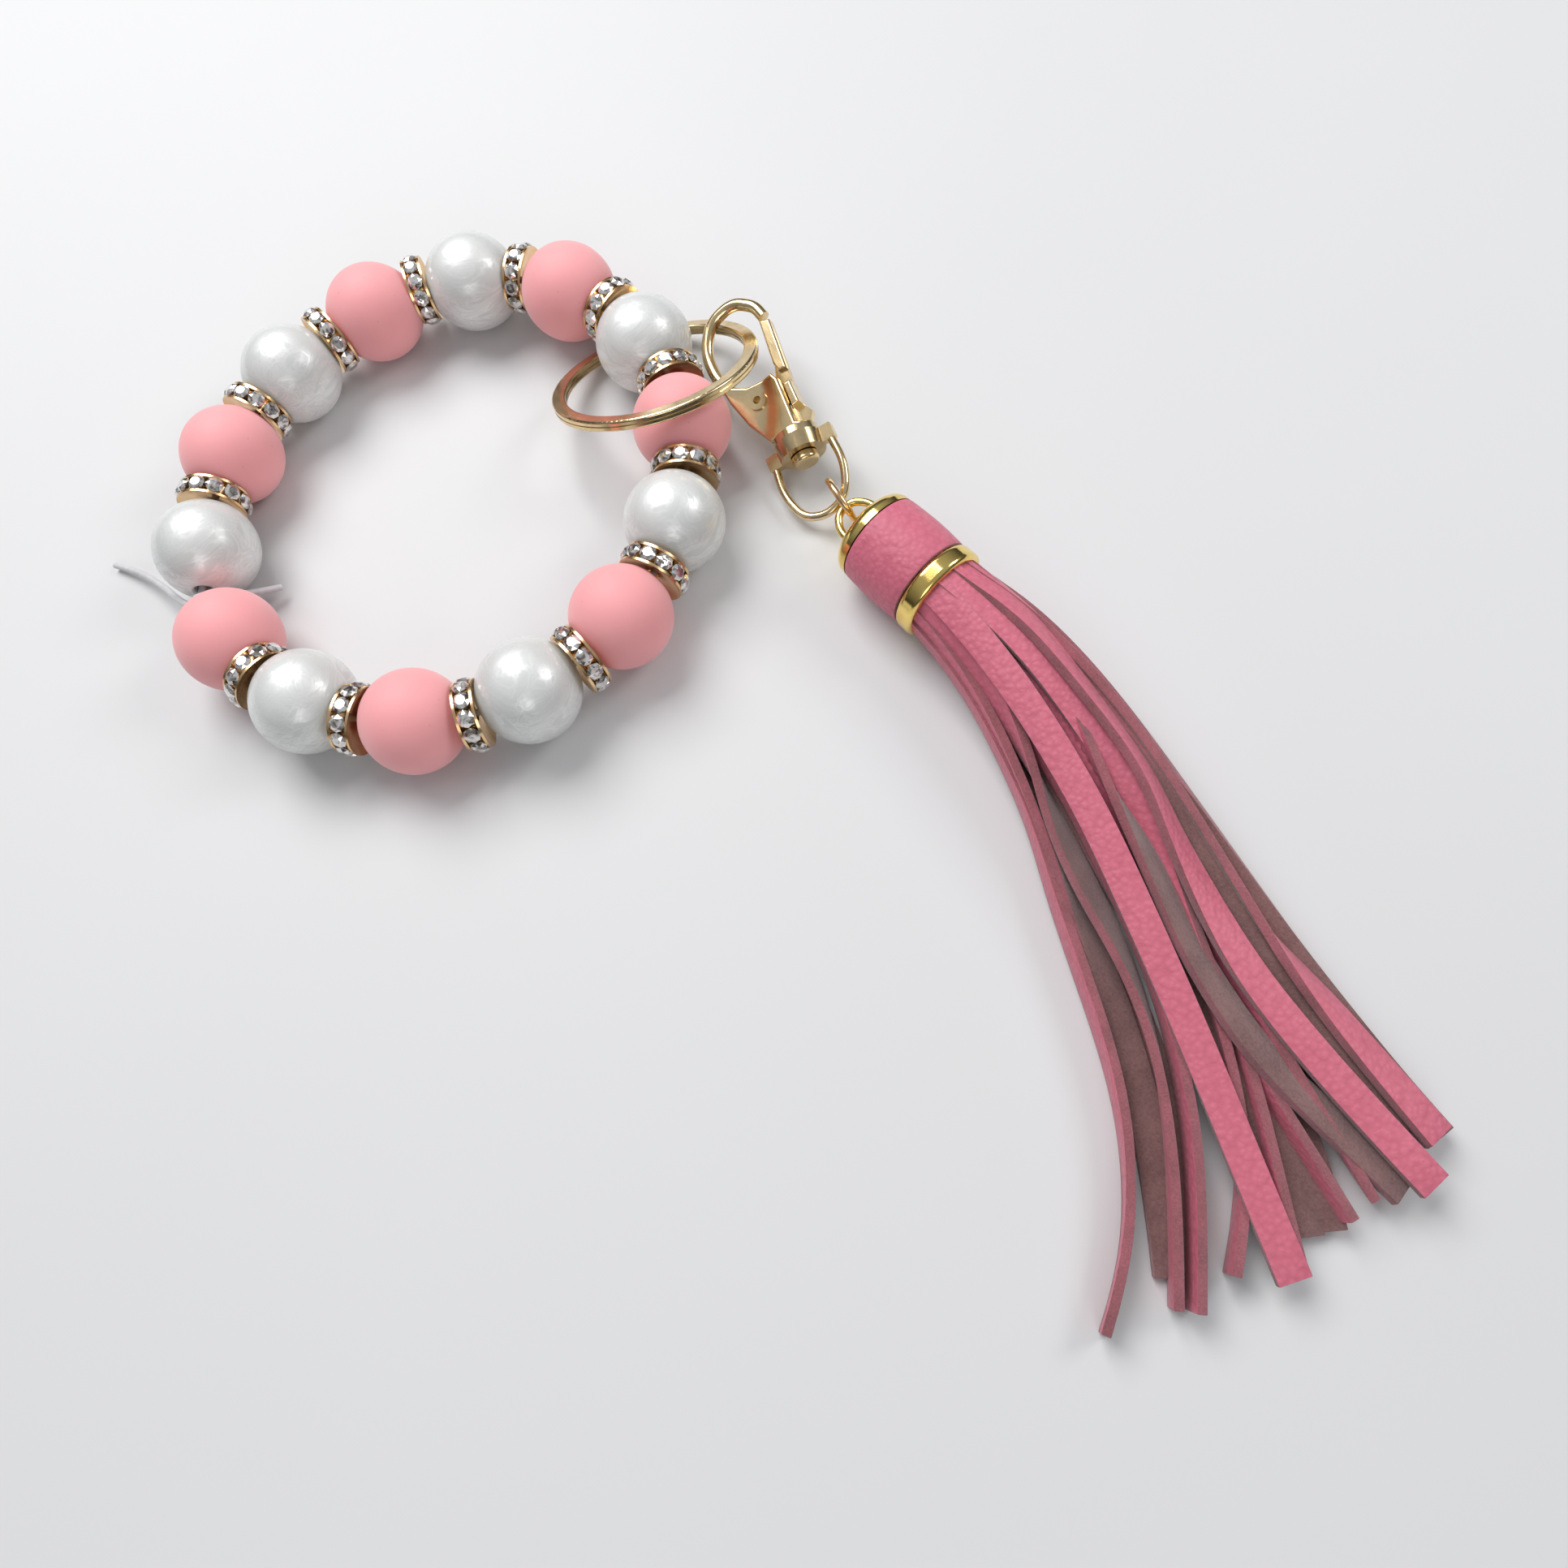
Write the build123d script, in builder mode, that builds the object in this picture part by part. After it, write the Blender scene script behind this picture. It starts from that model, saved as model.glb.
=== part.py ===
"""Wristlet keychain: an elastic bracelet of 15 mm beads with crystal rondelles, a split key ring,
a swivel trigger clasp, a jump ring and a leatherette tassel. Millimetres, +Z up. The keychain lies
on the plane z = 0, with the bracelet at -X and the tassel's tips at +X."""

from build123d import *
import os
from math import pi, radians, tan

os.makedirs("parts", exist_ok=True)

# ---------------------------------------------------------------- driving dimensions
bead_d = 15.0                   # standard silicone and acrylic bead
bead_r = bead_d / 2
bead_bore_r = 1.4
bore_edge = 0.5                 # rounding at each mouth of the bore

cord_d = 1.0                    # round elastic cord
knot_half_thick = 0.65          # the knot sits in the gap between the first and the last bead
knot_r = 1.5
knot_side_angle = 80

rondelle_r = 4.95
rondelle_bore_r = 0.9
rondelle_edge_half = 1.5        # half the thickness at the outer edge
rondelle_hub_half = 0.5         # half the thickness at the bore
rondelle_dish = (3.2, 0.74)     # radius and half thickness between the two
crystal_count = 12
channel_r = 4.0                 # floor of the channel that holds the crystals
channel_half = 0.68             # half the channel's width at its floor
channel_mouth_half = 1.12
crystal_base = (4.05, 1.6, 1.2)     # distance from the axis, size along the rim, size across it
crystal_girdle = (4.85, 2.1, 1.85)
crystal_table = (5.1, 1.3, 1.15)

ring_inner_r = 14.3             # split ring of flat wire, two turns
ring_band = 2.1
ring_thick = 1.6
ring_groove = 0.2

hook_wire_r = 0.95
body_thick = 4.4
slot_thick = 2.0
gate_thick = 1.6
rivet_r = 0.9
rivet_head_r = 1.5

swivel_axis_y = 2.8             # the swivel stands off the rivet, towards the gate
flange_r = 3.6
collar_r = 3.9
collar_length = 2.4
post_r = 1.5
post_head_r = 2.1
post_head_length = 1.3
running_clearance = 0.05
end_clearance = 0.15

d_wire_r = 0.65
jump_wire_r = 0.55
jump_r = 3.6                    # middle of the wire
bail_wire_r = 0.6
bail_half_width = 3.0

head_r = 7.2                    # tassel head, measured over the leather band
cap_r = 6.9
cap_length = 1.5
band_wall = 0.9
band_length = 10.3
ferrule_r = 7.15
ferrule_length = 3.0
core_r = 6.2
gap = 0.05                      # between pieces of one body that only touch

# The elastic's route at bead height: a corner in each gap between two beads, chosen by hand.
bead_height = bead_r
knot_place = (-74.9, -40.3)
cord_corners = [
    (-87.8, -28.5), (-95.2, -13.1), (-96.3, 3.9), (-91.3, 20.3), (-79.0, 32.3),
    (-62.2, 36.3), (-45.3, 32.0), (-31.8, 20.8), (-24.0, 5.3), (-22.7, -11.9),
    (-28.8, -28.0), (-41.8, -39.2), (-58.3, -43.7),
]
tail_long = [
    (-75.8, -41.9, 7.2), (-77.9, -42.3, 5.9), (-81.6, -42.6, 4.1), (-86.4, -42.7, 2.6),
    (-92.6, -43.4, 1.6), (-97.4, -45.2, 0.8),
]
tail_short = [
    (-74.0, -38.7, 7.3), (-73.6, -37.2, 6.3), (-72.8, -34.8, 4.4), (-71.6, -31.0, 2.2),
]

bracelet_centre = Vector(-59.6, -3.8, bead_height)
bead_inset = 0.2                # the cord bows outwards inside a bead, so the bead sits inwards
rondelle_inset = 0.85           # the cord's arc passes this far inside its corner


# ---------------------------------------------------------------- helpers
def tilted_plane(origin, heading, slope, roll):
    """A plane whose x runs at a heading, rising by a slope, and which is rolled about that x."""
    ahead = Vector(1, 0, 0).rotate(Axis.Y, -slope).rotate(Axis.Z, heading)
    across = Vector(0, 1, 0).rotate(Axis.Z, heading).rotate(Axis((0, 0, 0), ahead), roll)
    return Plane(origin, x_dir=ahead, z_dir=ahead.cross(across))


def corner_radii(points):
    """The largest arc at each corner: 0.45 of the shorter run over the tangent of half the turn."""
    radii = []
    for before, corner, after in zip(points, points[1:], points[2:]):
        run_in = Vector(*corner) - Vector(*before)
        run_out = Vector(*after) - Vector(*corner)
        half_turn = radians(run_in.get_angle(run_out)) / 2
        radii.append(0.45 * min(run_in.length, run_out.length) / tan(half_turn))
    return radii


def wire_part(points, wire_r, name):
    """A round wire or cord along straight runs joined by tangent arcs."""
    radii = corner_radii(points)
    print(name, "radii", [round(radius, 1) for radius in radii])
    with BuildPart() as wire:
        with BuildLine() as route:
            FilletPolyline(*points, radius=radii)
        with BuildSketch(Plane(route.line @ 0, z_dir=route.line % 0)):
            Circle(wire_r)
        sweep(path=route.line)
    length = sum(edge.length for edge in route.line.edges())
    ratio = wire.part.volume / (pi * wire_r**2 * length)
    print(name, "length", round(length, 1), "volume over section times length", round(ratio, 3))
    return wire.part


def save(part, name):
    """Label a finished piece and write it under its node's name."""
    part.label = name
    export_step(part, f"parts/{name}.step")


def on_plane(plane, points):
    """Points given in a plane's own coordinates, in the row's frame."""
    return [plane.from_local_coords(Vector(*point)) for point in points]


# ---------------------------------------------------------------- elastic cord and its knot
knot_centre = Vector(*knot_place, bead_height)
corners = [Vector(x, y, bead_height) for x, y in cord_corners]
leave = (corners[0] - knot_centre).normalized()
arrive = (corners[-1] - knot_centre).normalized()
knot_face = knot_half_thick + gap
loop_points = [knot_centre + leave * knot_face] + corners + [knot_centre + arrive * knot_face]
save(wire_part([tuple(point) for point in loop_points], cord_d / 2, "elastic_cord"), "elastic_cord")
save(wire_part(tail_long, cord_d / 2, "cord_tail_long"), "cord_tail_long")
save(wire_part(tail_short, cord_d / 2, "cord_tail_short"), "cord_tail_short")

knot_axis = (leave - arrive).normalized()
with BuildPart() as cord_knot:
    with BuildSketch(Plane(knot_centre, x_dir=knot_axis, z_dir=(0, 0, 1))):
        Trapezoid(2 * knot_half_thick, knot_r, knot_side_angle, align=(Align.CENTER, Align.MIN))
    revolve(axis=Axis(knot_centre, knot_axis))
save(cord_knot.part, "cord_knot")

# ---------------------------------------------------------------- beads and rondelles
stations = [knot_centre] + corners + [knot_centre]


def threaded_plane(place, inset, along):
    """The plane across the cord at a place, moved towards the middle of the bracelet."""
    inwards = (bracelet_centre - place).normalized()
    return Plane(place + inwards * inset, x_dir=(0, 0, 1), z_dir=along)


bead_planes = []
for before, after in zip(stations, stations[1:]):
    bead_planes.append(threaded_plane((before + after) / 2, bead_inset, after - before))

for number, plane in enumerate(bead_planes, start=1):
    finish = "pearl" if number % 2 else "pink"
    with BuildPart(plane) as bead:
        Sphere(bead_r)
        Cylinder(bead_bore_r, bead_d, mode=Mode.SUBTRACT)
        fillet(bead.edges().filter_by(GeomType.CIRCLE), bore_edge)
    save(bead.part, f"bead_{finish}_{number:02d}")


with BuildPart() as rim:
    with BuildSketch(Plane.XZ):
        with BuildLine():
            dish = ThreePointArc(
                (rondelle_bore_r, rondelle_hub_half), rondelle_dish, (rondelle_r, rondelle_edge_half))
            Polyline(dish @ 1, (rondelle_r, channel_mouth_half), (channel_r, channel_half),
                     (channel_r, 0), (rondelle_bore_r, 0), dish @ 0)
        make_face()
        mirror(about=Plane.XZ)
    revolve(axis=Axis.Z)

with BuildPart() as crystal:
    for distance, along_rim, across_rim in (crystal_base, crystal_girdle, crystal_table):
        with BuildSketch(Plane.YZ.offset(distance)):
            Rectangle(along_rim, across_rim)
    loft(ruled=True)

for number, corner in enumerate(corners, start=1):
    along = (stations[number + 1] - corner).normalized() + (corner - stations[number - 1]).normalized()
    plane = threaded_plane(corner, rondelle_inset, along)
    with BuildPart(plane) as rondelle_rim:
        add(rim.part)
    save(rondelle_rim.part, f"rondelle_rim_{number:02d}")
    with BuildPart(plane) as rondelle_crystals:
        with PolarLocations(0, crystal_count):
            add(crystal.part)
    save(rondelle_crystals.part, f"rondelle_crystals_{number:02d}")

# ---------------------------------------------------------------- split key ring
# It lies over the fifth bead gap: one bead stands up through it and the next one carries its edge.
key_ring_plane = Plane((-47.75, 30.2, 8.61), z_dir=(-0.411, 0.223, 0.884))
key_ring_middle = ring_inner_r + ring_band / 2
with BuildPart() as key_ring:
    with BuildSketch(Plane(key_ring_plane.origin, x_dir=key_ring_plane.x_dir,
                           z_dir=key_ring_plane.y_dir)):
        with Locations((key_ring_middle, 0)):
            RectangleRounded(ring_band, ring_thick, 0.3)
        for edge_r in (ring_inner_r, ring_inner_r + ring_band):
            with Locations((edge_r, 0)):
                Rectangle(2 * ring_groove, ring_groove, rotation=0, mode=Mode.SUBTRACT)
    revolve(axis=Axis(key_ring_plane.origin, key_ring_plane.z_dir))
save(key_ring.part, "key_ring")

# ---------------------------------------------------------------- swivel trigger clasp
# Its own plane: x from the hook towards the swivel, y towards the gate, z = 0 at mid thickness.
clasp = tilted_plane((-32.2, 37.5, 5.5), -29.0, -9.5, 25.0)
hook_route = [
    (-3.4, -3.2, 0), (-7.6, -5.4, 0), (-12.6, -5.6, 0), (-16.8, -3.0, 0), (-17.6, 1.6, 0),
    (-15.0, 4.6, 0), (-12.6, 5.3, 0),
]
body_outline = [
    (-5.4, -4.9), (-2.0, -4.3), (2.6, -2.9), (7.0, -0.6), (7.0, 6.0), (5.9, 4.1), (-1.6, 4.1),
    (-2.8, 3.5), (-2.6, 1.6), (-2.9, -0.8),
]
slot_outline = [(-7.0, 1.2), (-1.9, -1.9), (2.1, -1.9), (2.3, 3.9), (9.0, 3.9), (9.0, 9.0), (-7.0, 9.0)]
gate_outline = [
    (-12.1, 4.5), (-11.5, 6.1), (0.4, 5.6), (3.2, 5.7), (5.0, 6.7), (6.2, 5.9), (5.4, 4.6),
    (2.0, 4.4), (1.6, 0.6), (-1.6, 0.4), (-2.0, 3.2), (-4.6, 4.0),
]
gate_arm_outline = [(-12.1, 4.5), (-11.5, 6.1), (-3.0, 5.7), (-3.2, 4.4), (-4.6, 4.0)]
gate_side_outline = [(-0.6, 4.4), (-0.6, 5.65), (0.4, 5.6), (3.2, 5.7), (3.4, 4.4)]
d_route = [
    (9.4, 7.6, 0), (14.8, 8.1, 0), (19.4, 6.4, 0), (20.8, 2.8, 0), (19.4, -0.8, 0),
    (14.8, -2.5, 0), (9.4, -2.0, 0),
]
swivel_x = 8.0                  # face of the flange that the collar turns against
flange_thick = 1.0
wing = (2.4, 2.4, 1.4)
wing_y = 4.5                    # from the swivel's axis to the middle of each wing
spring_r = (1.0, 1.6)
spring_height = 0.65
gate_plate_z = (-0.9, 0.1)      # the gate's plate shares the slot with its spring
rivet_hole_r = 0.6
rivet_head_height = 0.35
body_edge_r = 0.4
gate_edge_r = 0.3
post_edge_r = 0.5
wing_corner_r = 0.3
collar_taper = 6.0              # degrees

swivel_plane = Plane(
    clasp.from_local_coords(Vector(swivel_x, swivel_axis_y, 0)), x_dir=clasp.z_dir, z_dir=clasp.x_dir)
clasp_axis = Axis(clasp.origin, clasp.z_dir)


def clasp_slab(outline, low, high, edge_r=0.0):
    """A flat slab of the clasp between two heights, with its outline's edges rounded."""
    with BuildPart() as slab:
        with BuildSketch(clasp.offset(low)):
            with BuildLine():
                Polyline(*outline, close=True)
            make_face()
        extrude(amount=high - low)
        if edge_r:
            fillet(slab.edges().group_by(clasp_axis)[0], edge_r)
            fillet(slab.edges().group_by(clasp_axis)[-1], edge_r)
    return slab.part


hook_wire = wire_part(on_plane(clasp, hook_route), hook_wire_r, "clasp_hook")
slot = clasp_slab(slot_outline, -slot_thick / 2, slot_thick / 2)
with BuildPart() as clasp_body:
    add(clasp_slab(body_outline, -body_thick / 2, body_thick / 2, body_edge_r))
    add(hook_wire)
    add(slot, mode=Mode.SUBTRACT)
    with BuildSketch(swivel_plane):
        Circle(flange_r)
    extrude(amount=-flange_thick)
    with BuildSketch(clasp.offset(-body_thick)):
        Circle(rivet_r)
    extrude(amount=2 * body_thick, mode=Mode.SUBTRACT)
save(clasp_body.part, "clasp_body")

with BuildPart() as clasp_gate:
    add(clasp_slab(gate_outline, *gate_plate_z))
    add(clasp_slab(gate_side_outline, -gate_thick, gate_thick, gate_edge_r))
    add(clasp_slab(gate_arm_outline, -gate_thick / 2, gate_thick / 2, gate_edge_r))
    with BuildSketch(clasp.offset(-body_thick)):
        Circle(rivet_r + running_clearance)
    extrude(amount=2 * body_thick, mode=Mode.SUBTRACT)
save(clasp_gate.part, "clasp_gate")

with BuildPart() as clasp_rivet:
    with BuildSketch(clasp.offset(-body_thick / 2)):
        Circle(rivet_r)
    extrude(amount=body_thick)
    for side in (-1, 1):
        with BuildSketch(clasp.offset(side * body_thick / 2)):
            Circle(rivet_head_r)
        extrude(amount=side * rivet_head_height)
    with BuildSketch(clasp.offset(-body_thick)):
        Circle(rivet_hole_r)
    extrude(amount=2 * body_thick, mode=Mode.SUBTRACT)
save(clasp_rivet.part, "clasp_rivet")

with BuildPart() as gate_spring:
    with BuildSketch(clasp.offset(gate_plate_z[1] + gap)):
        Circle(spring_r[1])
        Circle(spring_r[0], mode=Mode.SUBTRACT)
    extrude(amount=spring_height)
save(gate_spring.part, "gate_spring")

head_start = collar_length + 2 * end_clearance
with BuildPart() as swivel_post:
    with BuildSketch(swivel_plane):
        Circle(post_r)
    extrude(amount=head_start)
    with BuildSketch(swivel_plane.offset(head_start)):
        Circle(post_head_r)
    extrude(amount=post_head_length)
    fillet(swivel_post.edges().group_by(Axis(swivel_plane.origin, swivel_plane.z_dir))[-1], post_edge_r)
save(swivel_post.part, "swivel_post")

d_wire = wire_part(on_plane(clasp, d_route), d_wire_r, "swivel_ring")
with BuildPart() as swivel_ring:
    with BuildSketch(swivel_plane.offset(end_clearance)):
        Circle(collar_r)
    extrude(amount=collar_length, taper=collar_taper)
    add(d_wire)
    for side in (-1, 1):
        wing_middle = clasp.from_local_coords(
            Vector(swivel_x + end_clearance + wing[0] / 2, swivel_axis_y + side * wing_y, 0))
        with BuildSketch(Plane(wing_middle, x_dir=clasp.x_dir, z_dir=clasp.z_dir).offset(-wing[2] / 2)):
            RectangleRounded(wing[0], wing[1], wing_corner_r)
        extrude(amount=wing[2])
    with BuildSketch(swivel_plane):
        Circle(post_r + running_clearance)
    extrude(amount=head_start, mode=Mode.SUBTRACT)
save(swivel_ring.part, "swivel_ring")

# ---------------------------------------------------------------- jump ring
# Its plane holds the line from the D-shaped wire to the tassel's bail.
jump_plane = Plane((-11.4, 31.3, 5.95), z_dir=(0.334, 0.898, 0.292))
with BuildPart() as jump_ring:
    with BuildSketch(Plane(jump_plane.origin, x_dir=jump_plane.x_dir, z_dir=jump_plane.y_dir)):
        with Locations((jump_r, 0)):
            Circle(jump_wire_r)
    revolve(axis=Axis(jump_plane.origin, jump_plane.z_dir))
save(jump_ring.part, "jump_ring")

# ---------------------------------------------------------------- tassel
# Its own plane: x from the cap towards the fringe, the origin on the head's axis at the band's start.
tassel = tilted_plane((-4.3, 29.3, 7.3), -7.3, 0.0, 12.0)
head_axis = Axis(tassel.origin, tassel.x_dir)
bail_route = [
    (-0.8, 3.0, 0), (-3.6, 3.0, 0), (-5.7, 1.3, 0), (-5.7, -1.3, 0), (-3.6, -3.0, 0), (-0.8, -3.0, 0),
]
save(wire_part(on_plane(tassel, bail_route), bail_wire_r, "tassel_bail"), "tassel_bail")

cap_face = -0.8                 # the bail's ends stand on this face
cap_flat_r = 4.6
cap_shoulder = (-0.35, 6.3)     # a point on the cap's rounded shoulder
cap_rim = (0.7, cap_r)
with BuildPart() as tassel_cap:
    with BuildSketch(tassel):
        with BuildLine():
            Line((cap_face, 0), (cap_face, cap_flat_r))
            ThreePointArc((cap_face, cap_flat_r), cap_shoulder, cap_rim)
            Polyline(cap_rim, (cap_length, cap_r), (cap_length, 0), (cap_face, 0))
        make_face()
    revolve(axis=head_axis)
save(tassel_cap.part, "tassel_cap")

band_start = cap_length + gap
band_end = band_start + band_length
ferrule_start = band_end + gap
ferrule_end = ferrule_start + ferrule_length
core_end = ferrule_end - 0.3     # the core stops just inside the ferrule
band_edge_r = 0.3
ferrule_edge_r = 0.8


def head_ring(start, length, inner, outer, name, rounding):
    """A ring round the head's axis, with its outer edges rounded."""
    with BuildPart() as ring:
        with BuildSketch(tassel):
            with Locations((start + length / 2, (inner + outer) / 2)):
                Rectangle(length, outer - inner)
        revolve(axis=head_axis)
        if rounding:
            rims = ring.edges().filter_by(GeomType.CIRCLE).filter_by(lambda edge: edge.radius > inner + 0.1)
            fillet(rims, rounding)
    save(ring.part, name)


head_ring(band_start, band_length, head_r - band_wall, head_r, "leather_band", band_edge_r)
head_ring(ferrule_start, ferrule_length, core_r + gap, ferrule_r, "tassel_ferrule", ferrule_edge_r)
with BuildPart() as tassel_core:
    with BuildSketch(tassel):
        with Locations(((band_start + core_end) / 2, core_r / 2)):
            Rectangle(core_end - band_start, core_r)
    revolve(axis=head_axis)
save(tassel_core.part, "tassel_core")

# The fringe lies on the table. Each row is x, middle y, half width, lowest z and highest z.
fringe_split = 56.0
fringe_bundle = [
    (24.0, 26.0, 7.8, 0.3, 12.0), (40.0, 19.1, 10.4, 0.2, 9.0), (fringe_split, 11.1, 11.8, 0.2, 6.8),
]
fringe_fingers = [
    [(fringe_split, 2.5, 3.1, 0.2, 4.6), (72.0, -12.0, 4.2, 0.2, 4.2), (83.6, -30.0, 4.4, 0.2, 3.8)],
    [(fringe_split, 10.0, 3.6, 0.2, 6.2), (78.0, -1.6, 5.0, 0.2, 5.6), (95.4, -10.5, 4.9, 0.2, 5.0)],
    [(fringe_split, 18.4, 4.3, 0.2, 6.4), (78.0, 12.0, 5.2, 0.2, 6.0), (103.0, 5.8, 5.4, 0.2, 5.4)],
]


def fringe_loft(sections, shift=0.0, first=None):
    """A soft solid through flattened ovals that stand across the x direction."""
    with BuildPart() as lock:
        if first:
            with BuildSketch(first):
                Circle(core_r)
        for x, middle, half_width, low, high in sections:
            with BuildSketch(Plane((x + shift, middle, (low + high) / 2), x_dir=(0, 1, 0), z_dir=(1, 0, 0))):
                Ellipse(half_width, (high - low) / 2)
        loft(ruled=True)
    return lock.part


core_face = Plane(tassel.from_local_coords(Vector(core_end + gap, 0, 0)), x_dir=tassel.y_dir,
                  z_dir=tassel.x_dir)
with BuildPart() as tassel_fringe:
    add(fringe_loft(fringe_bundle, first=core_face))
    for finger in fringe_fingers:
        add(fringe_loft([(x + gap, *rest) for x, *rest in finger]))
save(tassel_fringe.part, "tassel_fringe")
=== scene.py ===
"""Wristlet keychain: bead bracelet on elastic, split key ring, swivel clasp and leather tassel."""
from math import cos, pi, radians, sin

import bpy
from mathutils import Matrix, Vector


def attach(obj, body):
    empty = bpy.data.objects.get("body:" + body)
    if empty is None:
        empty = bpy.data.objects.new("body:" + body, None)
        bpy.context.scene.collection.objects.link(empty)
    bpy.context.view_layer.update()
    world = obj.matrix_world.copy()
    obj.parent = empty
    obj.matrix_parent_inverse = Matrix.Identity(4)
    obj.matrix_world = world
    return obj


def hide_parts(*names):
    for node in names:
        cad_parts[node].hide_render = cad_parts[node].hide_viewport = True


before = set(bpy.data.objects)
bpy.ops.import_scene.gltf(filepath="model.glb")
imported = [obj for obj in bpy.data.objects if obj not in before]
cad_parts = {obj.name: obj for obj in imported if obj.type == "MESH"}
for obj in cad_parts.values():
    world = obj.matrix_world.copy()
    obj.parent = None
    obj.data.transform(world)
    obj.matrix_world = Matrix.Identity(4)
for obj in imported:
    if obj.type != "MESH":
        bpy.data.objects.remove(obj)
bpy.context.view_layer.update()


# ---- Camera: held above the table, looking down past the tassel's strands to the bracelet,
# and turned a little about its own line of sight. Sizes are in millimetres times MM.
MM = 0.001
camera_place = Vector((52.5, -39.2, 148.9)) * MM
looking_along = Vector((-0.2758, 0.2076, -0.9385)).normalized()
camera_up = Vector((-0.5919, 0.7326, 0.3360))
camera_right = looking_along.cross(camera_up).normalized()
camera_up = camera_right.cross(looking_along)
camera_turn = Matrix((camera_right, camera_up, -looking_along)).transposed().to_4x4()
bpy.ops.object.select_all(action="DESELECT")
bpy.ops.object.camera_add()
camera = bpy.context.active_object
camera.name = "camera"
camera.data.lens = 26
camera.data.sensor_width = 36
camera.data.clip_start = 0.01
camera.matrix_world = Matrix.Translation(camera_place) @ camera_turn
bpy.context.scene.camera = camera


# ---- Elastic: one length of clear, slightly milky stretch cord, threaded through every bead and
# rondelle. Its two ends are tied in a knot between the last bead and the first, and cut loose.
elastic_d = 1.0 * MM
bead_height = 7.5
knot_place = (-74.9, -40.3, bead_height)
loop_corners = [
    (-87.8, -28.5), (-95.2, -13.1), (-96.3, 3.9), (-91.3, 20.3), (-79.0, 32.3),
    (-62.2, 36.3), (-45.3, 32.0), (-31.8, 20.8), (-24.0, 5.3), (-22.7, -11.9),
    (-28.8, -28.0), (-41.8, -39.2), (-58.3, -43.7)]
long_end = [
    (-97.4, -45.2, 0.8), (-92.6, -43.4, 1.6), (-86.4, -42.7, 2.6), (-81.6, -42.6, 4.1),
    (-77.9, -42.3, 5.9), (-75.8, -41.9, 7.2)]
short_end = [
    (-74.0, -38.7, 7.3), (-73.6, -37.2, 6.3), (-72.8, -34.8, 4.4), (-71.6, -31.0, 2.2)]
elastic_route = (
    long_end + [knot_place] + [(x, y, bead_height) for x, y in loop_corners]
    + [knot_place] + short_end)

line = bpy.data.curves.new("elastic", "CURVE")
line.dimensions = "3D"
line.bevel_depth = elastic_d / 2
line.bevel_resolution = 4
line.resolution_u = 10
line.use_fill_caps = True
spline = line.splines.new("NURBS")
spline.points.add(len(elastic_route) - 1)
for point, place in zip(spline.points, elastic_route):
    point.co = (*(Vector(place) * MM), 1)
spline.order_u = 3
spline.use_endpoint_u = True
elastic = bpy.data.objects.new("elastic", line)
bpy.context.scene.collection.objects.link(elastic)


class Signal:
    """One shader node's output. Sums and products of signals add the Math nodes they need."""

    def __init__(self, finish, socket):
        self.finish, self.socket = finish, socket

    def maths(self, operation, *values):
        return self.finish.add(
            "ShaderNodeMath", {"operation": operation}, dict(enumerate(values)))

    def __add__(self, other):
        return self.maths("ADD", self, other)

    def __sub__(self, other):
        return self.maths("SUBTRACT", self, other)

    def __rsub__(self, other):
        return self.maths("SUBTRACT", other, self)

    def __mul__(self, other):
        return self.maths("MULTIPLY", self, other)

    __radd__, __rmul__ = __add__, __mul__


class Finish:
    """One material: a surface, and the nodes that feed it."""

    def __init__(self, name, **constants):
        self.material = bpy.data.materials.new(name)
        self.material.use_nodes = True
        self.tree = self.material.node_tree
        self.surface = self.tree.nodes["Principled BSDF"]
        for socket, value in constants.items():
            self.surface.inputs[socket.replace("_", " ")].default_value = value
        self.place = self.add("ShaderNodeTexCoord", output="Object")

    def add(self, kind, settings=None, inputs=None, output=0):
        node = self.tree.nodes.new(kind)
        for name, value in (settings or {}).items():
            if name == "stops":
                stops = node.color_ramp.elements
                while len(stops) < len(value):
                    stops.new(0.5)
                for stop, (position, level) in zip(stops, value):
                    stop.position, stop.color = position, (level, level, level, 1)
            else:
                setattr(node, name, value)
        for name, value in (inputs or {}).items():
            if isinstance(value, Signal):
                self.tree.links.new(value.socket, node.inputs[name])
            else:
                node.inputs[name].default_value = value
        return Signal(self, node.outputs[output])

    def noise(self, scale, detail=2.0, rough=0.5, warp=0.0, place=None):
        return self.add("ShaderNodeTexNoise", None, {
            "Vector": place or self.place, "Scale": scale, "Detail": detail,
            "Roughness": rough, "Distortion": warp})

    def ramp(self, signal, *stops):
        return self.add("ShaderNodeValToRGB", {"stops": stops}, {"Fac": signal})

    def mix(self, amount, first, second):
        factor, colour_a, colour_b, colour_out = 0, 6, 7, 2      # the Mix node's colour sockets
        return self.add("ShaderNodeMix", {"data_type": "RGBA"},
                        {factor: amount, colour_a: first, colour_b: second}, colour_out)

    def stretched(self, x, y, z):
        return self.add("ShaderNodeMapping", None, {"Vector": self.place, "Scale": (x, y, z)})

    def bump(self, height, strength, distance, under=None):
        inputs = {"Height": height, "Strength": strength, "Distance": distance}
        if under:
            inputs["Normal"] = under
        return self.add("ShaderNodeBump", None, inputs)

    def feed(self, **signals):
        for socket, signal in signals.items():
            self.tree.links.new(signal.socket, self.surface.inputs[socket.replace("_", " ")])

    def cover(self, *pieces):
        for piece in pieces:
            piece.data.materials.clear()
            piece.data.materials.append(self.material)


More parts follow.
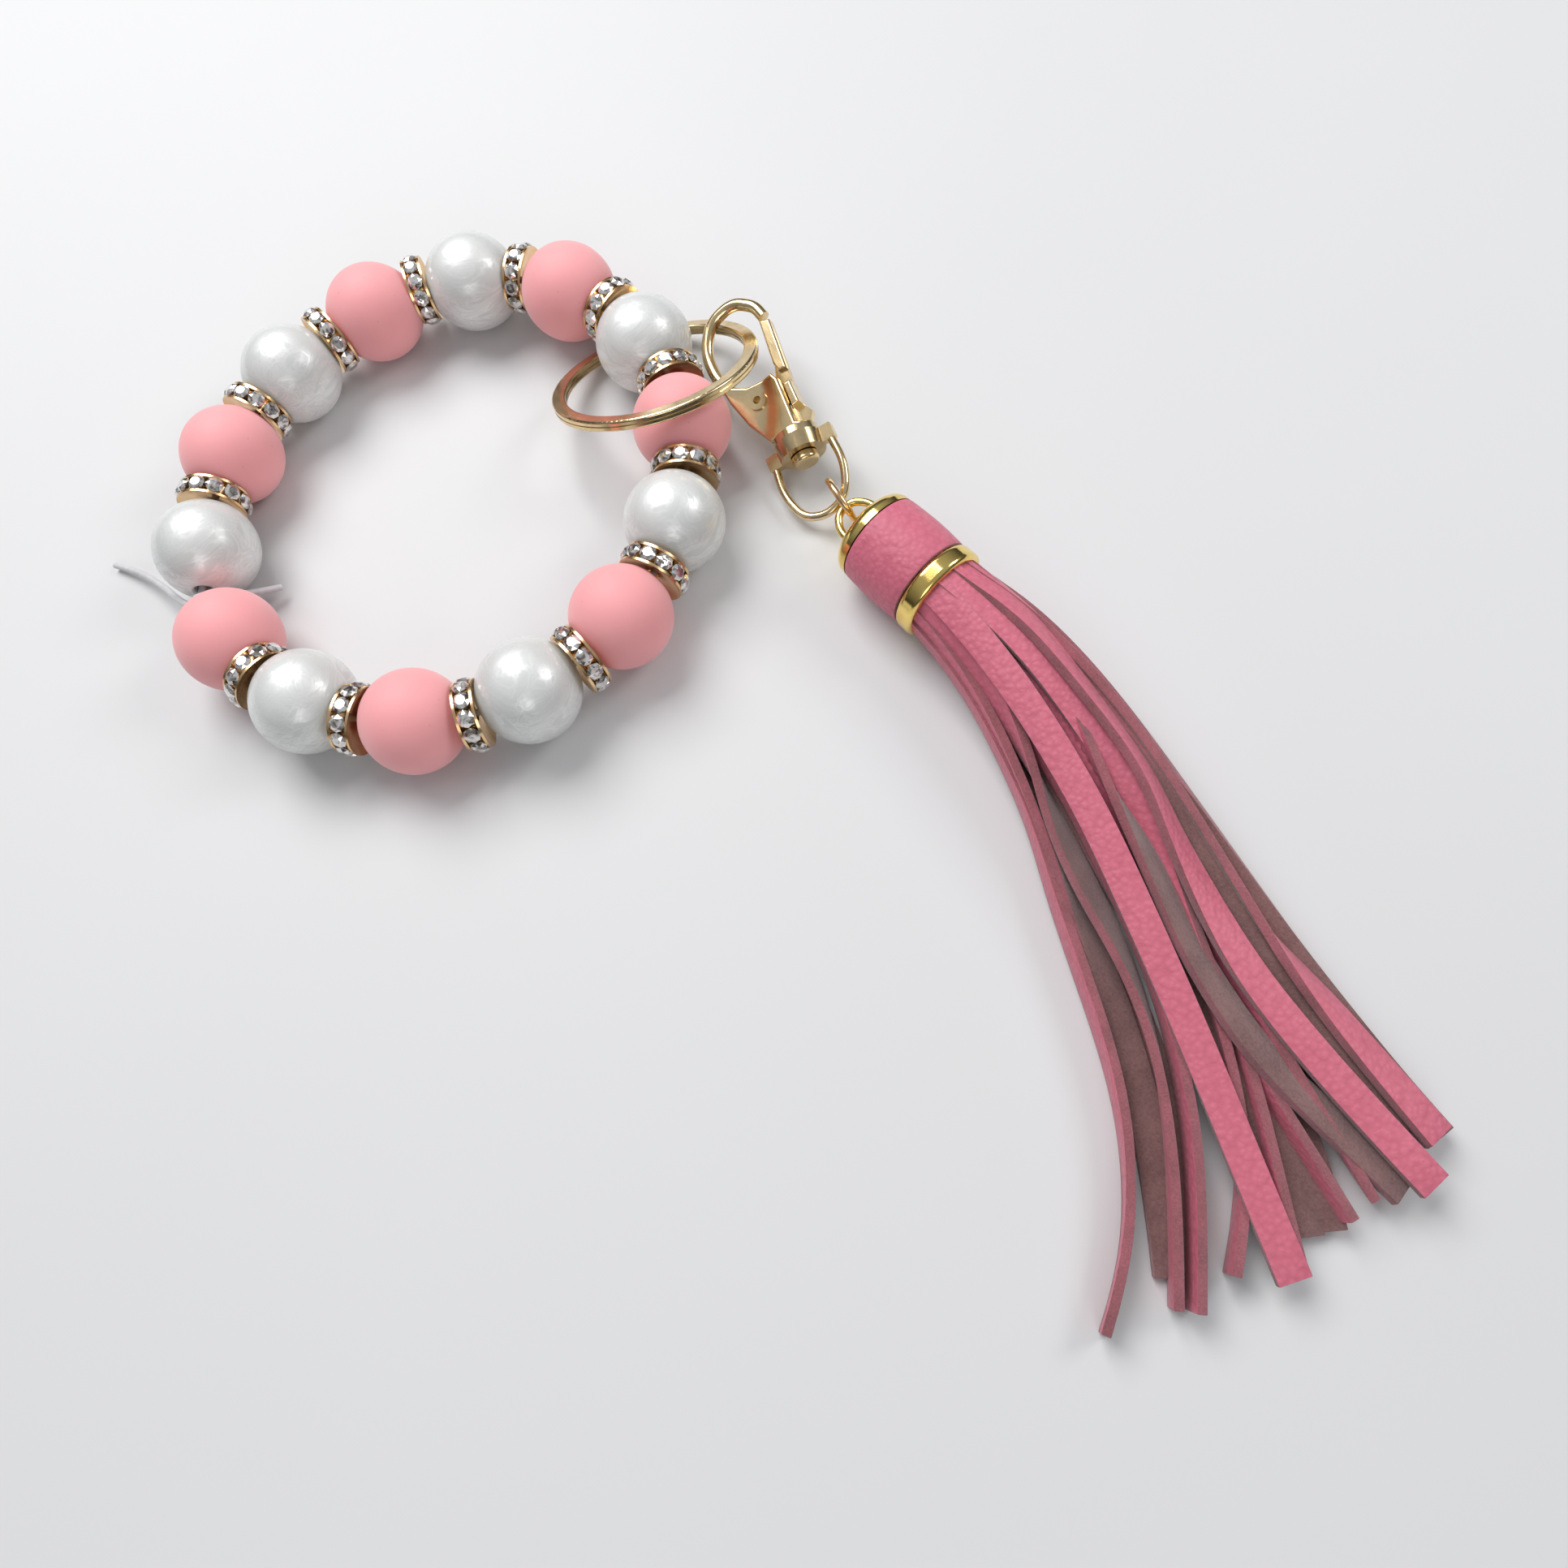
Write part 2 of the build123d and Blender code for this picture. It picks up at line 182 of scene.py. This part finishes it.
milky = Finish("milky_elastic", Specular_IOR_Level=0.5)
cloudy = milky.noise(900, 3, 0.6)
milky.feed(
    Base_Color=milky.mix(cloudy, (0.50, 0.50, 0.52, 1), (0.74, 0.73, 0.74, 1)),
    Roughness=0.22 + cloudy * 0.25,
    Normal=milky.bump(milky.noise(2500, 2), 0.15, 0.05 * MM))
milky.cover(elastic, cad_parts["cord_knot"])
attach(elastic, "bracelet_cord")
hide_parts("elastic_cord", "cord_tail_long", "cord_tail_short")


# ---- Pink beads: moulded silicone, dead matt and soft to the touch, with a faint bloom and a
# few specks of lint that such silicone always holds.
silicone = Finish("pink_silicone", Specular_IOR_Level=0.35, Subsurface_Weight=0.12,
                  Subsurface_Scale=1.5 * MM, Sheen_Weight=0.25, Sheen_Roughness=0.6)
bloom = silicone.noise(110, 4, 0.6)
lint = silicone.ramp(silicone.add(
    "ShaderNodeTexVoronoi", None, {"Vector": silicone.place, "Scale": 420}), (0.03, 1), (0.07, 0))
tone = silicone.mix(bloom, (0.87, 0.345, 0.360, 1), (0.93, 0.400, 0.410, 1))
silicone.feed(
    Base_Color=silicone.mix(lint * 0.22, tone, (0.35, 0.15, 0.15, 1)),
    Roughness=0.50 + bloom * 0.16,
    Normal=silicone.bump(silicone.noise(3200, 2), 0.12, 0.03 * MM))
for number in range(2, 15, 2):
    silicone.cover(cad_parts[f"bead_pink_{number:02d}"])


# ---- Pearl beads: clear acrylic cast with mother-of-pearl powder, which has flowed into silky
# bands before it set, under a polished skin.
pearl = Finish("pearl_acrylic", Specular_IOR_Level=0.55, Coat_Roughness=0.12,
               Sheen_Weight=0.15, Sheen_Tint=(0.9, 0.95, 1.0, 1))
flow = pearl.noise(70, 3, 0.55, 1.6, pearl.stretched(1.0, 1.0, 2.4))
bands = pearl.ramp(pearl.noise(150, 3, 0.5, 3.2, pearl.stretched(1, 0.8, 2.2)),
                   (0.40, 0), (0.50, 1), (0.56, 0.25), (0.66, 0.9))
silk = pearl.noise(520, 3, 0.6, 1.2, pearl.stretched(0.5, 1, 3.0))
body_tone = pearl.mix(flow, (0.56, 0.58, 0.57, 1), (0.74, 0.755, 0.73, 1))
pearl.feed(
    Base_Color=pearl.mix(bands * 0.6, body_tone, (0.88, 0.88, 0.865, 1)),
    Metallic=0.08 + bands * 0.22,
    Roughness=0.42 - bands * 0.12 + silk * 0.12,
    Coat_Weight=0.35 + flow * 0.3,
    Normal=pearl.bump(silk * 0.6 + bands * 0.4, 0.10, 0.12 * MM))
for number in range(1, 14, 2):
    pearl.cover(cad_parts[f"bead_pearl_{number:02d}"])


# ---- Rondelle rims: stamped brass dishes, plated in rose gold, back to back round the stones.
# The plating is bright on the edge and dull down in the channel.
class Plating(Finish):
    """Polished plate over cast or stamped metal: faint haze, fine rubbing marks and a soft dent."""

    def __init__(self, name, bright, deep, haze):
        super().__init__(name, Metallic=1.0, Coat_Roughness=0.06)
        tarnish = self.ramp(self.noise(260, 5, 0.62, 0.6), (0.34, 0), (0.72, 1))
        marks = self.noise(1500, 3, 0.7, 0.3, self.stretched(1, 5, 5))
        self.feed(
            Base_Color=self.mix(tarnish * 0.7, bright, deep),
            Roughness=haze + tarnish * 0.10 + marks * 0.07,
            Coat_Weight=0.25 - tarnish * 0.15,
            Normal=self.bump(marks, 0.10, 0.02 * MM,
                             self.bump(self.noise(170, 2), 0.20, 0.15 * MM)))


rose_plate = Plating("rose_gold_plate", (0.88, 0.62, 0.34, 1), (0.58, 0.34, 0.16, 1), 0.15)
for number in range(1, 14):
    rose_plate.cover(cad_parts[f"rondelle_rim_{number:02d}"])


# ---- Rondelle stones: twelve glass chatons in each rondelle, cut with a table, a crown and a
# pavilion, foiled behind, and set in the rim's channel.
stone_count = 12
stone_sides = 8
stone_r = 4.90                  # from the rondelle's axis to the stone's girdle
stone_girdle = 1.27             # half the stone's width
stone_edge = 0.16               # the girdle's own height
stone_table = 0.74              # half the table's width
stone_point = 0.2               # half the width of the pavilion's blunt end
stone_crown = 0.36              # from the girdle out to the table
stone_pavilion = 0.70           # from the girdle in to the blunt end
stone_across = 0.94             # a stone is a little narrower across the rim than along it
bracelet_centre = Vector((-59.6, -3.8, bead_height))
rondelle_inset = 0.85           # how far the elastic's bend draws a rondelle inwards

bpy.ops.object.select_all(action="DESELECT")
bpy.ops.mesh.primitive_cylinder_add(
    vertices=stone_sides, radius=stone_girdle * MM, depth=stone_edge * MM, end_fill_type="NGON",
    location=(0, 0, stone_r * MM))
stone = bpy.context.active_object
bpy.ops.object.transform_apply(location=True, rotation=False, scale=False)
for side, run, width in ((1, stone_crown, stone_table), (-1, -stone_pavilion, stone_point)):
    bpy.ops.object.mode_set(mode="EDIT")
    bpy.ops.mesh.select_mode(type="FACE")
    bpy.ops.mesh.select_all(action="DESELECT")
    bpy.ops.object.mode_set(mode="OBJECT")
    for face in stone.data.polygons:
        face.select = face.normal.z * side > 0.9
    bpy.ops.object.mode_set(mode="EDIT")
    bpy.ops.mesh.extrude_region_move(TRANSFORM_OT_translate={"value": (0, 0, run * MM)})
    bpy.ops.transform.resize(value=(width / stone_girdle,) * 2 + (1,),
                             center_override=(0, 0, stone_r * MM))
    bpy.ops.transform.rotate(value=pi / stone_sides, orient_axis="Z",
                             center_override=(0, 0, stone_r * MM))
    bpy.ops.object.mode_set(mode="OBJECT")
bpy.ops.object.mode_set(mode="EDIT")
bpy.ops.mesh.select_all(action="SELECT")
bpy.ops.mesh.quads_convert_to_tris(quad_method="FIXED", ngon_method="BEAUTY")
bpy.ops.mesh.normals_make_consistent(inside=False)
bpy.ops.object.mode_set(mode="OBJECT")
cut_stone = stone.data.copy()
bpy.data.objects.remove(stone)

foiled = Finish("foiled_glass", Coat_Weight=1.0, Coat_Roughness=0.01, Coat_IOR=1.6,
                Roughness=0.04)
# The noise called depth mixes dark brown and near-white patches into the stones' colour: painted
# reflections for the dark and bright facets of clear glass.
depth = foiled.noise(900, 2, 0.5, 1.0)
painted_reflection = foiled.ramp(depth, (0.36, 0.10), (0.52, 0.80), (0.62, 0.95))
foiled.feed(
    Base_Color=foiled.mix(painted_reflection, (0.20, 0.15, 0.11, 1), (0.90, 0.89, 0.87, 1)),
    Metallic=0.95 - painted_reflection * 0.25,
    Normal=foiled.bump(foiled.noise(1400, 1), 0.25, 0.08 * MM))

stations = [Vector(knot_place)] + [Vector((x, y, bead_height)) for x, y in loop_corners]
stations += [Vector(knot_place)]
for number, (before, corner, after) in enumerate(
        zip(stations, stations[1:], stations[2:]), start=1):
    along = ((corner + after) - (before + corner)).normalized()
    middle = corner + (bracelet_centre - corner).normalized() * rondelle_inset
    up = Vector((0, 0, 1))
    out = along.cross(up)
    seat = Matrix.Translation(middle * MM) @ Matrix((out, along, up)).transposed().to_4x4()
    bpy.ops.object.select_all(action="DESELECT")
    for turn in range(stone_count):
        mesh = cut_stone.copy()
        mesh.transform(Matrix.Diagonal((1, stone_across, 1, 1)))
        mesh.transform(seat @ Matrix.Rotation(2 * pi * turn / stone_count, 4, "Y"))
        chaton = bpy.data.objects.new("chaton", mesh)
        bpy.context.scene.collection.objects.link(chaton)
        chaton.select_set(True)
    bpy.context.view_layer.objects.active = chaton
    bpy.ops.object.join()
    stones = bpy.context.active_object
    stones.name = f"rondelle_stones_{number:02d}"
    foiled.cover(stones)
    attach(stones, f"rondelle_{number:02d}")
    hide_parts(f"rondelle_crystals_{number:02d}")


# ---- Key ring, clasp and D loop: steel wire and zinc castings under pale gold plate, polished
# to a mirror and rubbed a little by keys. The gate's spring is bare steel.
pale_plate = Plating("pale_gold_plate", (0.86, 0.68, 0.39, 1), (0.52, 0.36, 0.18, 1), 0.09)
for node in ("key_ring", "clasp_body", "clasp_gate", "clasp_rivet", "swivel_post", "swivel_ring"):
    pale_plate.cover(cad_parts[node])
spring_steel = Plating("spring_steel", (0.62, 0.61, 0.58, 1), (0.36, 0.34, 0.31, 1), 0.22)
spring_steel.cover(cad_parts["gate_spring"])
rose_plate.cover(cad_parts["jump_ring"])


# ---- Tassel head: the cap and the ferrule are spun from brass and the bail is bent wire, all in a
# bright yellow gold plate. They hold the rolled leather between them.
bright_plate = Plating("bright_gold_plate", (0.97, 0.74, 0.24, 1), (0.70, 0.44, 0.10, 1), 0.07)
for node in ("tassel_cap", "tassel_bail", "tassel_ferrule"):
    bright_plate.cover(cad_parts[node])


# ---- Strands: a sheet of pink grained split hide, cut into strips and rolled up in the ferrule.
# Past it they fan out on the table, some turned over. The face is coloured and pebbled, the back
# is mauve-brown suede, and every cut edge shows the same fuzzy fibre with some of the pink.
leather_thick = 1.2 * MM
strip_width = 4.1 * MM
strip_arris = 0.12 * MM
table_gap = 0.15 * MM           # a strip that lies on the table is flat on it
head_start = Vector((-4.3, 29.3, 7.3))
head_length = 14.9              # from the cap's end to the ferrule's mouth
held_inside = 5                 # how far the modelled strips reach back into the ferrule
tassel_along = Vector((0.992, -0.127, 0))
tassel_right = Vector((-0.127, -0.992, 0))
ferrule_mouth = head_start + tassel_along * head_length
# Each strip: where it sits in the ferrule (degrees from the top towards the right, mm from the
# middle), then its route in mm with how far its face leans to the right, in degrees.
strips = {
    "under_middle": (180, 5.3, [
        (22, 26.5, 2.2, 178), (36, 21, 1.0, 180), (52, 13, 0.8, 184), (68, 6, 0.7, 180),
        (84, -3, 0.7, 176), (93, -9.5, 0.7, 180)]),
    "under_left": (140, 5.3, [
        (21, 22.5, 2.4, 150), (33, 16, 1.2, 165), (48, 7, 1.0, 176), (61, 0, 0.8, 180),
        (73, -8, 0.7, 184), (82, -17.5, 0.7, 180), (84.5, -21, 0.7, 180)]),
    "under_right": (-140, 5.3, [
        (20, 32, 3.2, -155), (33, 31, 2.0, -170), (50, 25, 1.2, -178), (66, 18, 0.8, -180),
        (80, 12, 0.8, -182), (94, 4.5, 0.8, -180)]),
    "suede_c": (-165, 3.4, [
        (22, 29.5, 4.6, -150), (36, 25, 3.2, -160), (55, 16, 2.6, -172), (68, 8.8, 2.6, -180),
        (79.7, 3, 2.2, -176), (89, -2.5, 1.7, -170), (95.4, -8.6, 1.3, -172)]),
    "suede_b": (165, 2.6, [
        (22, 26, 4.4, 160), (36, 21, 3.0, 175), (52, 14, 2.4, 185), (66, 7, 2.4, 190),
        (77, 2, 2.2, 186), (86.9, -4.3, 1.7, 180), (93.8, -10.8, 1.3, 176)]),
    "suede_a": (120, 3.4, [
        (21, 22.5, 4.8, 120), (34, 17.5, 3.2, 140), (50, 11, 2.6, 165), (62, 6.5, 2.4, 182),
        (71.8, 2.8, 2.3, 196), (83, -5.1, 1.9, 200), (91.6, -13.1, 1.5, 196)]),
    "suede_left": (78, 5.4, [
        (20, 20.2, 6.2, 82), (34, 13.6, 4.4, 96), (46, 6.6, 3.2, 118), (55.9, 0.6, 2.3, 152),
        (63.9, -4.9, 1.5, 176), (70.2, -9.8, 1.0, 182), (77.2, -16.1, 0.8, 180),
        (84.6, -24.6, 0.7, 176)]),
    "thin_left": (100, 5.5, [
        (20, 19.8, 4.6, 94), (30, 15.0, 3.4, 92), (39.1, 10.0, 2.9, 88), (46.8, 3.8, 2.5, 84),
        (57.3, -3.4, 2.3, 82), (67.5, -10.8, 2.15, 86), (75.9, -20.1, 2.1, 94),
        (80.0, -27.9, 2.1, 98), (82.1, -34.7, 2.1, 96)]),
    "far_right": (-100, 5.4, [
        (19, 33.4, 6.5, -92), (31, 31.4, 5.6, -96), (42, 27.6, 5.0, -112),
        (50.5, 24.2, 4.6, -132), (58, 21.4, 4.3, -146), (66, 18.4, 4.0, -152),
        (75, 15.2, 3.5, -160), (84, 12.4, 3.0, -168), (93, 9.8, 2.5, -174),
        (99.3, 8.4, 2.2, -176)]),
    "crossing": (10, 3.2, [
        (22, 25, 9.4, 20), (34, 21, 7.4, 40), (50, 15, 5.4, 70), (63.3, 9.9, 4.6, 84),
        (75.7, 2.4, 3.7, 92), (83.7, -4.7, 3.0, 88), (91.0, -11.6, 2.5, 84),
        (94.3, -14.5, 2.3, 84)]),
    "middle_behind": (62, 3.4, [
        (22, 22.2, 7.2, 66), (34, 17.4, 5.6, 70), (48, 12.4, 4.6, 80), (58, 10.4, 4.2, 92),
        (66.5, 7.6, 3.9, 98), (77.9, -1.6, 3.2, 100), (85.2, -10.3, 2.6, 94),
        (89.4, -20.0, 2.3, 90)]),
    "inner_right": (-35, 3.3, [
        (22, 29.4, 9.0, -35), (36, 26, 7.2, -20), (50, 19.6, 5.8, 20), (64, 12.2, 4.6, 62),
        (76, 5.6, 3.9, 86), (86, 2.2, 3.2, 100), (97.0, -2.4, 2.5, 108)]),
    "pair_under": (55, 5.5, [
        (18.8, 21.7, 9.2, 55), (25.4, 19.4, 8.2, 66), (31, 16.8, 7.2, 84), (35.9, 14.2, 6.4, 104),
        (41.2, 11.0, 5.6, 130), (46.3, 8.2, 5.0, 142), (51.8, 5.4, 4.6, 140),
        (57.8, 2.6, 4.2, 126), (66.2, -2.8, 3.6, 108), (74.2, -10.4, 3.0, 98),
        (81.0, -19.1, 2.6, 92), (86.6, -27.2, 2.3, 92)]),
    "pair_over": (42, 5.2, [
        (18, 22.8, 10.6, 48), (29, 19.4, 9.2, 64), (36.6, 16.4, 8.0, 76), (43.9, 13.0, 7.0, 84),
        (50.5, 9.4, 6.0, 88), (58, 5.2, 5.2, 92), (65, 0.8, 4.6, 92), (73.6, -6.3, 3.8, 86),
        (80.6, -14.2, 3.1, 82), (88.4, -26.0, 2.5, 82)]),
    "right_turned": (-75, 5.4, [
        (19, 32, 9.0, -72), (31, 29.6, 7.6, -80), (42, 25.6, 6.8, -104),
        (50.8, 21.8, 6.3, -132), (56, 18.9, 5.9, -146), (61.8, 16.2, 5.5, -152),
        (68.1, 13.6, 5.1, -156), (76, 10.6, 4.6, -160), (85, 8.0, 4.0, -168),
        (95.5, 5.8, 3.2, -174)]),
    "brown_long": (-15, 3.4, [
        (22, 25.5, 9.5, 10), (32, 23.2, 8.8, 40), (40, 20.2, 8.2, 90), (49, 16.0, 7.7, 128),
        (54.3, 13.2, 7.4, 140), (59.3, 10.3, 7.0, 146), (64, 7.6, 6.6, 150),
        (70, 5.0, 6.1, 154), (76.8, 2.6, 5.6, 156), (84, 1.6, 4.9, 160), (92, 0.9, 4.0, 164),
        (99, 0.2, 3.2, 166)]),
    "right_edge": (-52, 5.4, [
        (19, 32.2, 9.6, -62), (31, 30.4, 8.6, -70), (41, 27.4, 7.6, -84),
        (49.4, 24.0, 6.9, -92), (58.9, 19.8, 6.3, -92), (66, 16.8, 5.9, -84),
        (73, 14.4, 5.6, -60), (80, 12.6, 5.3, -34), (88, 10.4, 4.9, -22), (98.6, 7.8, 4.3, -16)]),
    "top_right": (-28, 5.4, [
        (17.7, 29.8, 12.3, -34), (25.1, 28.8, 11.8, -44), (36.3, 25.6, 10.4, -52),
        (46.2, 22.7, 9.2, -54), (53.1, 18.3, 8.4, -48), (59.9, 14.5, 7.7, -30),
        (69.5, 9.8, 7.0, -8), (79, 7.0, 6.2, 0), (90, 4.6, 5.3, 0), (100.9, 2.6, 4.6, -2)]),
    "top_middle": (-2, 5.5, [
        (16, 27.4, 12.6, 0), (24.5, 26.4, 11.8, 2), (31.6, 24.6, 10.8, 6),
        (37.9, 22.7, 9.8, 12), (43.6, 20.8, 8.6, 20), (48.7, 18.4, 7.4, 36),
        (53.9, 15.4, 6.0, 50), (59.8, 11.6, 5.0, 60), (66, 7.6, 4.4, 70), (76, 1.5, 3.6, 80),
        (88, -3.0, 2.9, 84), (96, -6.5, 2.5, 84)]),
    "top_left": (24, 5.4, [
        (17.5, 23.6, 12.0, 24), (28.8, 20.2, 11.4, 20), (42.9, 14.4, 9.8, 14),
        (53.5, 8.6, 8.5, 12), (63.7, 2.8, 7.2, 8), (73.5, -3.0, 5.9, 6), (84, -9.6, 4.8, 2),
        (94.6, -16.2, 3.9, 0)]),
}

leather_face = Finish("leather_face", Specular_IOR_Level=0.45, Sheen_Weight=0.1)
pebble = leather_face.add("ShaderNodeTexVoronoi", {"feature": "SMOOTH_F1"}, {
    "Vector": leather_face.place, "Scale": 1300, "Smoothness": 0.6, "Randomness": 1.0})
creases = leather_face.noise(900, 4, 0.65, 0.8)
mottle = leather_face.noise(90, 4, 0.6)
tone = leather_face.mix(mottle, (0.56, 0.122, 0.185, 1), (0.68, 0.175, 0.250, 1))
# The darker colour sits in the grooves between the pebbles: painted shade laid over the real pebble
# grain.
leather_face.feed(
    Base_Color=leather_face.mix(leather_face.ramp(pebble, (0.25, 0), (0.75, 1)) * 0.35,
                                tone, (0.42, 0.075, 0.120, 1)),
    Roughness=0.40 + creases * 0.24,
    Normal=leather_face.bump(1.0 - pebble, 0.7, 0.16 * MM,
                             leather_face.bump(creases, 0.5, 0.2 * MM)))


def suede(name, dark, light, nap):
    """Bare fibre: the hide's back and, with a finer nap, its cut edges."""
    back = Finish(name, Specular_IOR_Level=0.15, Sheen_Weight=0.5, Sheen_Roughness=0.5)
    fibre = back.noise(nap, 5, 0.75, 0.5)
    patches = back.noise(160, 4, 0.6)
    back.feed(
        Base_Color=back.mix(back.ramp(fibre * 0.6 + patches * 0.4, (0.34, 0), (0.66, 1)),
                            dark, light),
        Roughness=0.86 + fibre * 0.1,
        Normal=back.bump(fibre, 0.8, 0.25 * MM))
    return back


def cut_from_hide(piece, thickness, offset, edge_width):
    """Gives a single layer its thickness, with suede behind, the cut edge round and an arris."""
    piece.data.materials.clear()
    for finish in (leather_face, leather_back, leather_edge):
        piece.data.materials.append(finish.material)
    bpy.ops.object.select_all(action="DESELECT")
    piece.select_set(True)
    bpy.context.view_layer.objects.active = piece
    hide = piece.modifiers.new("hide", "SOLIDIFY")
    hide.thickness, hide.offset = thickness, offset
    hide.material_offset, hide.material_offset_rim = 1, 2
    hide.use_even_offset = True
    bpy.ops.object.modifier_apply(modifier="hide")
    arris = piece.modifiers.new("arris", "BEVEL")
    arris.width, arris.segments, arris.angle_limit = edge_width, 2, radians(50)
    arris.material = -1
    bpy.ops.object.modifier_apply(modifier="arris")
    bpy.ops.object.shade_smooth_by_angle(angle=radians(40))


leather_back = suede("leather_suede", (0.150, 0.072, 0.072, 1), (0.300, 0.165, 0.155, 1), 2600)
leather_edge = suede(
    "leather_cut_edge", (0.190, 0.075, 0.078, 1), (0.480, 0.140, 0.180, 1), 3600)

cut_strips = []
for name, (around, from_middle, route) in strips.items():
    away = Vector((0, 0, cos(radians(around)))) + tassel_right * sin(radians(around))
    in_mouth = ferrule_mouth + away * from_middle
    points = [
        (*(in_mouth - tassel_along * held_inside), around), (*in_mouth, around)] + route
    ribbon = bpy.data.curves.new(name, "CURVE")
    ribbon.dimensions = "3D"
    ribbon.twist_mode = "Z_UP"
    ribbon.extrude = strip_width / 2
    ribbon.resolution_u = 5
    run = ribbon.splines.new("NURBS")
    run.points.add(len(points) - 1)
    for point, (x, y, z, lean) in zip(run.points, points):
        point.co = (x * MM, y * MM, z * MM, 1)
        point.tilt = radians(90 + lean)
    run.order_u = 4
    run.use_endpoint_u = True
    strip = bpy.data.objects.new(name, ribbon)
    bpy.context.scene.collection.objects.link(strip)
    cut_strips.append(strip)
bpy.ops.object.select_all(action="DESELECT")
for strip in cut_strips:
    strip.select_set(True)
bpy.context.view_layer.objects.active = cut_strips[0]
bpy.ops.object.convert(target="MESH")
bpy.ops.object.join()
strands = bpy.context.active_object
strands.name = "tassel_strands"
cut_from_hide(strands, leather_thick, 0, strip_arris)
for corner in strands.data.vertices:
    corner.co.z = max(corner.co.z, table_gap)
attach(strands, "tassel")
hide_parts("tassel_fringe", "tassel_core")


# ---- Band: a strip of the same leather, wrapped once round the head between cap and ferrule and
# glued. Its lower end is a raw cut that shows brown.
band_from, band_to = 1.65, 11.75        # along the head, from the cap's end
band_r = 7.15
band_thick = 0.8
band_arris = 0.2
band_rings = 7
band_tuck = 0.028                       # how far its ends draw in, as a share of its radius
band_ripple = 0.006                     # an uneven pull of the glue, as a share of its radius
head_turn = Matrix.Rotation(radians(-7.3), 4, "Z") @ Matrix.Rotation(radians(90), 4, "Y")
head_seat = Matrix.Translation(head_start * MM) @ head_turn
bpy.ops.object.select_all(action="DESELECT")
bpy.ops.mesh.primitive_cylinder_add(
    vertices=64, radius=band_r * MM, depth=(band_to - band_from) * MM, end_fill_type="NOTHING",
    location=(0, 0, (band_to + band_from) / 2 * MM))
band = bpy.context.active_object
band.name = "leather_wrap"
bpy.ops.object.transform_apply(location=True, rotation=False, scale=False)
bpy.ops.object.mode_set(mode="EDIT")
for ring in range(1, band_rings):
    level = band_from + (band_to - band_from) * ring / band_rings
    bpy.ops.mesh.select_all(action="SELECT")
    bpy.ops.mesh.bisect(plane_co=(0, 0, level * MM), plane_no=(0, 0, 1))
bpy.ops.object.mode_set(mode="OBJECT")
for point in band.data.vertices:
    share = (point.co.z / MM - band_from) / (band_to - band_from)
    pull = 1 - band_tuck * (2 * share - 1) ** 4 - band_ripple * sin(9 * share)
    point.co.x *= pull
    point.co.y *= pull
cut_from_hide(band, band_thick * MM, -1, band_arris * MM)
band.data.transform(head_seat)
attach(band, "tassel")
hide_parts("leather_band")


# ---- Table and lights: a plain pale top, a large soft box from the left and a weaker one
# opposite, under an even grey room.
table_size = 3
bpy.ops.object.select_all(action="DESELECT")
bpy.ops.mesh.primitive_plane_add(size=table_size)
table = bpy.context.active_object
table.name = "table_top"
plain = Finish("plain_table", Specular_IOR_Level=0.3)
cloud = plain.noise(6, 4, 0.5)
plain.feed(Base_Color=plain.mix(cloud, (0.64, 0.64, 0.645, 1), (0.69, 0.69, 0.69, 1)),
           Roughness=0.55 + cloud * 0.1)
plain.cover(table)

for name, place, size, power in (
        ("soft_box", (-0.42, 0.10, 0.55), 0.45, 4.4),
        ("window", (0.25, 0.50, 0.45), 0.25, 1.3),
        ("reflector", (0.45, -0.40, 0.40), 0.35, 0.8)):
    bpy.ops.object.light_add(type="AREA")
    lamp = bpy.context.active_object
    lamp.name = name
    lamp.data.energy = power
    lamp.data.size = size
    lamp.matrix_world = (
        Matrix.Translation(place) @ Vector(place).to_track_quat("Z", "Y").to_matrix().to_4x4())

room = bpy.data.worlds.new("room")
room.use_nodes = True
room_nodes = room.node_tree.nodes
where = room_nodes.new("ShaderNodeTexCoord")
height = room_nodes.new("ShaderNodeSeparateXYZ")
fade = room_nodes.new("ShaderNodeValToRGB")
wall, ceiling = fade.color_ramp.elements
wall.position, wall.color = 0.05, (0.05, 0.05, 0.055, 1)
ceiling.position, ceiling.color = 0.75, (0.90, 0.92, 0.96, 1)
room.node_tree.links.new(where.outputs["Generated"], height.inputs[0])
room.node_tree.links.new(height.outputs["Z"], fade.inputs["Fac"])
room.node_tree.links.new(fade.outputs["Color"], room_nodes["Background"].inputs["Color"])
room_nodes["Background"].inputs["Strength"].default_value = 0.42
bpy.context.scene.world = room
bpy.context.scene.view_settings.view_transform = "Standard"
